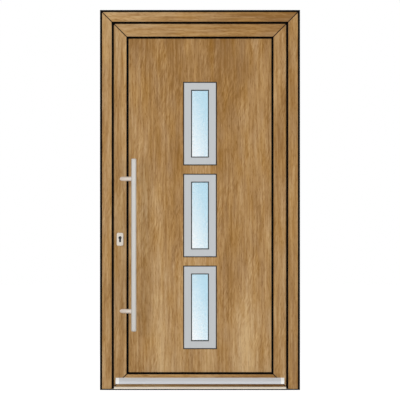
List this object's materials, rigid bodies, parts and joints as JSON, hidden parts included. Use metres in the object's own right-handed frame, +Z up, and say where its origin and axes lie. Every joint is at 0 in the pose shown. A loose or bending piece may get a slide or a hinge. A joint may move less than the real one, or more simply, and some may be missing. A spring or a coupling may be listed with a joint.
{
  "type": "front door",
  "caption": "Oak-look front door in its frame, opening inwards, with narrow framed windows, a long pull bar, a lock plate and a weather bar.",
  "frame": {"origin": "on the floor under the threshold, at the middle of the width and of the frame's depth", "axes": "+Z up, +X towards the hinges (right, seen from outside), +Y into the house"},
  "size_m": [1.1, 0.2045, 2.09],
  "materials": {
    "oak_foil": "oak-grain foil on plastic profiles",
    "black_gasket": "black gasket rubber",
    "black_base": "black insulating plastic",
    "cream_aluminium": "cream powder coat",
    "lock_steel": "zinc-plated",
    "hinge_metal": "silver paint",
    "brushed_steel": "brushed stainless",
    "satin_steel": "warm satin stainless",
    "dark_cylinder": "dark coating",
    "spacer_aluminium": "mill",
    "satin_glass": "light blue satin glass",
    "weather_bar_aluminium": "silver anodised",
    "white_plastic": "white"
  },
  "bodies": {
    "frame": {"frame_jamb_left": "oak_foil", "frame_jamb_right": "oak_foil", "frame_head": "oak_foil", "frame_edge_seal": "black_gasket", "frame_gasket": "black_gasket", "threshold_base": "black_base", "threshold_cover": "cream_aluminium", "threshold_gasket": "black_gasket", "strike_plates": "lock_steel", "hinge_frame_halves": "hinge_metal"},
    "leaf": {"cylinder_escutcheon": "satin_steel", "glazing_bead_bottom": "oak_foil", "glazing_bead_left": "oak_foil", "glazing_bead_right": "oak_foil", "glazing_bead_top": "oak_foil", "hinge_leaf_halves": "hinge_metal", "infill_panel": "oak_foil", "inner_handle_plate": "brushed_steel", "inner_lever": "brushed_steel", "leaf_gasket": "black_gasket", "leaf_rail_bottom": "oak_foil", "leaf_rail_top": "oak_foil", "leaf_stile_left": "oak_foil", "leaf_stile_right": "oak_foil", "lock_bolts": "lock_steel", "lock_cylinder": "dark_cylinder", "lock_faceplate": "lock_steel", "panel_gaskets": "black_gasket", "pull_bar": "brushed_steel", "pull_bar_support_lower": "brushed_steel", "pull_bar_support_upper": "brushed_steel", "weather_bar": "weather_bar_aluminium", "weather_bar_caps": "white_plastic", "window_edge_seals": "black_gasket", "window_glass_lower": "satin_glass", "window_glass_middle": "satin_glass", "window_glass_upper": "satin_glass", "window_glazing_seals": "black_gasket", "window_spacers": "spacer_aluminium", "window_trim_inner_lower": "brushed_steel", "window_trim_inner_middle": "brushed_steel", "window_trim_inner_upper": "brushed_steel", "window_trim_outer_lower": "brushed_steel", "window_trim_outer_middle": "brushed_steel", "window_trim_outer_upper": "brushed_steel"}
  },
  "joints": [
    {"name": "leaf_swing", "type": "hinge", "parent": "frame", "child": "leaf", "pos_m": [0.53, 0.062, 1.045], "axis": [0, 0, -1], "range_deg": [0, 110]}
  ]
}
